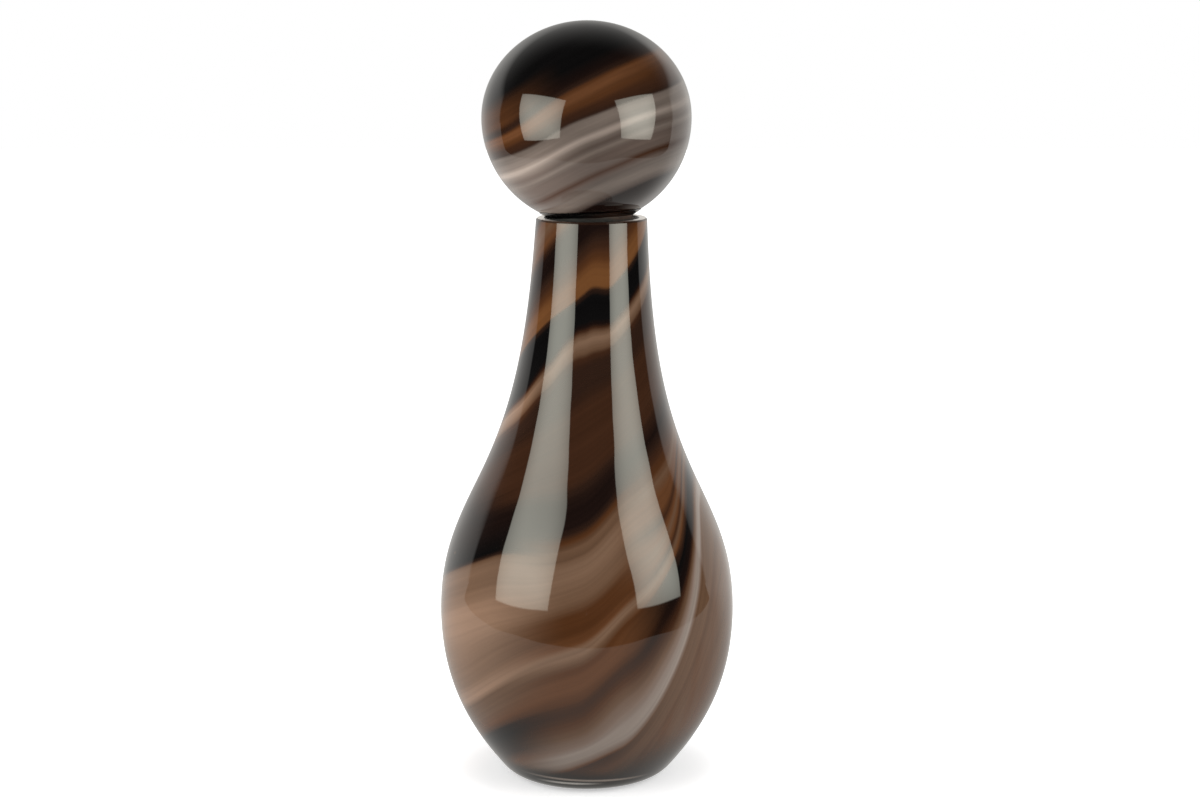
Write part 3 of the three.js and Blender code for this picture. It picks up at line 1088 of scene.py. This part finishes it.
def soft_box(degrees, size):
    """One soft box: the lamp that lights the glass, and the cloth that shows in its gloss."""
    turn = math.radians(degrees)
    place = (BOX_DISTANCE * math.sin(turn), -BOX_DISTANCE * math.cos(turn), BOX_HEIGHT)
    facing = (math.radians(RIGHT_ANGLE - BOX_TILT), 0, turn)
    bpy.ops.object.light_add(type="AREA", location=place, rotation=facing)
    lamp = bpy.context.object
    lamp.name = "soft_box_lamp"
    lamp.data.shape = "RECTANGLE"
    lamp.data.size, lamp.data.size_y = size
    lamp.data.energy = LAMP_POWER
    lamp.visible_glossy = False
    bpy.ops.mesh.primitive_plane_add(size=1, location=place, rotation=facing)
    screen = bpy.context.object
    screen.name = "soft_box_cloth"
    screen.dimensions = (*size, 0)
    bpy.ops.object.transform_apply(location=False, rotation=False, scale=True)
    screen.data.materials.append(soft_box_cloth(size))
    screen.visible_camera = False
    screen.visible_diffuse = False
    screen.visible_shadow = False
    screen.visible_transmission = False


def paper_glow(bench, side):
    """How bright the white paper behind is, by how far to the left or right it is seen."""
    across = bench.maths("ABSOLUTE", side)
    gain = bench.rise(side, *PAPER_RIGHT_TURN) * PAPER_RIGHT_GAIN + PAPER_SIDES_GAIN
    near = bench.rise(across, *PAPER_SIDES_TURN) * gain + PAPER_GLOW
    return near - bench.rise(across, *PAPER_FALL_TURN) * PAPER_FALL


def floor_paper():
    """White paper that keeps a faint shadow, with a painted shadow where it glows less near the bottle, and
    ends a little in front of the bottle in its reflections.
    """
    material, bench = new_material("floor paper")
    camera, glossy, bounce = (bench.ray(kind) for kind in ("Camera", "Glossy", "Diffuse"))
    x, y, _ = bench.parts(bench.add("ShaderNodeTexCoord", output="Object"))
    far = bench.rise(y, *FLOOR_FAR)
    back = paper_glow(bench, x / bench.maths("MAXIMUM", y, LEAST_BACK))
    off = bench.maths("ABSOLUTE", x)
    front = bench.rise(off, *PAPER_BOW) * PAPER_FRONT - PAPER_FRONT
    edge = off * bench.rise(off, *PAPER_SPREAD_START) * PAPER_SPREAD + front
    paper = bench.rise(y - edge, *PAPER_EDGE) * (far * (back - FLOOR_SHINE) + FLOOR_SHINE)
    away = bench.maths("SQRT", x * x + y * y)
    # Painted shadow: the paper glows less for the camera near the bottle
    glow_with_painted_shadow = bench.rise(away, *PAINTED_SHADOW_REACH) * OPEN_GLOW + PAINTED_SHADOW_GLOW
    strength = camera * glow_with_painted_shadow + glossy * paper + bounce * FLOOR_BOUNCE
    tone = bench.blend(WHITE, PAPER_TINT, glossy)
    glow = bench.add("ShaderNodeEmission", sockets={"Color": tone, "Strength": strength})
    matt, pale, dark = (
        bench.add("ShaderNodeBsdfDiffuse", sockets={"Color": colour})
        for colour in (MATT_PAPER, PALE_PAPER, BLACK)
    )
    shadowed = bench.add("ShaderNodeMixShader", sockets={0: camera, 1: matt, 2: pale})
    seen = bench.add("ShaderNodeMixShader", sockets={0: glossy, 1: shadowed, 2: dark})
    both = bench.add("ShaderNodeAddShader", sockets={0: seen, 1: glow})
    bench.add("ShaderNodeOutputMaterial", sockets={"Surface": both})
    return material


def made_floor():
    bpy.ops.mesh.primitive_plane_add(size=2 * STUDIO_FLOOR)
    floor = bpy.context.object
    floor.name = "studio_floor"
    floor.data.materials.append(floor_paper())


def made_world():
    """White all round for the camera; in reflections, white paper behind and a dark studio in front."""
    world = bpy.data.worlds.new("white studio")
    bpy.context.scene.world = world
    bench = Bench(world)
    camera, glossy, through = (bench.ray(kind) for kind in ("Camera", "Glossy", "Transmission"))
    x, y, z = bench.parts(bench.add("ShaderNodeTexCoord", output="Generated"))
    back = bench.maths("MAXIMUM", y, LEAST_BACK)
    side = x / back
    end = bench.fade(bench.maths("ABSOLUTE", side), PAPER_FALL_TURN[1], 1 / PAPER_SPREAD)
    paper = end * bench.fade(z / back, *PAPER_TOP) * paper_glow(bench, side)
    ceiling = bench.rise(y, *CEILING_BACK) * bench.rise(z, *CEILING_HEIGHT) * CEILING_GLOW
    reflected = bench.maths("MAXIMUM", paper, ceiling) + DARK_GLOW
    white = bench.maths("MAXIMUM", camera, through)
    lit = (1 - white) * (1 - glossy) * AMBIENT
    strength = white + glossy * reflected + lit
    tone = bench.blend(WHITE, PAPER_TINT, glossy)
    light = bench.add("ShaderNodeBackground", sockets={"Color": tone, "Strength": strength})
    bench.add("ShaderNodeOutputWorld", sockets={"Surface": light})


# Operators


class BlowBottle(bpy.types.Operator):
    """Blow the marbled bottle"""

    bl_idname = "marbled_bottle.blow_bottle"
    bl_label = "Blow the bottle"

    def execute(self, context):
        settings = context.scene.marbled_bottle
        sizes = settings.sizes
        outside = eased(bottle_outside(sizes), EASE_PASSES)
        outline = [*pontil_outline(sizes), *outside, *bottle_inside(sizes)]
        bottle = turned("bottle_glass_body", outline)
        leaned(bottle, sizes)
        glass = bottle_glass(sizes, settings.colours)
        finished(bottle, glass, "bottle", "bottle_body")
        return {"FINISHED"}


class BlowBall(bpy.types.Operator):
    """Blow the hollow ball of the stopper"""

    bl_idname = "marbled_bottle.blow_ball"
    bl_label = "Blow the ball"

    def execute(self, context):
        settings = context.scene.marbled_bottle
        ball = seated("stopper_glass_ball", ball_outline, settings.sizes)
        glass = ball_glass(settings.sizes, settings.colours)
        finished(ball, glass, "stopper", "stopper_ball")
        return {"FINISHED"}


class GrindPlug(bpy.types.Operator):
    """Grind the plug of the stopper"""

    bl_idname = "marbled_bottle.grind_plug"
    bl_label = "Grind the plug"

    def execute(self, context):
        settings = context.scene.marbled_bottle
        plug = seated("stopper_glass_plug", plug_outline, settings.sizes)
        glass = plug_glass(settings.sizes, settings.colours)
        finished(plug, glass, "stopper", "stopper_plug")
        return {"FINISHED"}


class SetStudio(bpy.types.Operator):
    """Set up the white studio: floor, backdrop, soft boxes and camera"""

    bl_idname = "marbled_bottle.set_studio"
    bl_label = "Set up the studio"

    def execute(self, context):
        context.scene.view_settings.view_transform = "Standard"
        made_camera()
        made_floor()
        made_world()
        for degrees, size in BOXES:
            soft_box(degrees, size)
        return {"FINISHED"}


class BottlePanel(bpy.types.Panel):
    """Lists what can be made and changed"""

    bl_idname = "VIEW3D_PT_marbled_bottle"
    bl_label = "Marbled Bottle"
    bl_space_type = "VIEW_3D"
    bl_region_type = "UI"
    bl_category = "Marbled Bottle"

    def draw(self, context):
        settings = context.scene.marbled_bottle
        for operator in OPERATORS:
            self.layout.operator(operator.bl_idname)
        for group in (settings.sizes, settings.colours):
            column = self.layout.column()
            for name in group.__annotations__:
                column.prop(group, name)


OPERATORS = (SetStudio, BlowBottle, BlowBall, GrindPlug)
CLASSES = (BottleSizes, GlassColours, BottleSettings, *OPERATORS, BottlePanel)


def register():
    for kind in CLASSES:
        bpy.utils.register_class(kind)
    bpy.types.Scene.marbled_bottle = bpy.props.PointerProperty(type=BottleSettings)


def unregister():
    del bpy.types.Scene.marbled_bottle
    for kind in reversed(CLASSES):
        bpy.utils.unregister_class(kind)


def main():
    register()
    bpy.ops.marbled_bottle.set_studio()
    bpy.ops.marbled_bottle.blow_bottle()
    bpy.ops.marbled_bottle.blow_ball()
    bpy.ops.marbled_bottle.grind_plug()


if __name__ == "__main__":
    main()
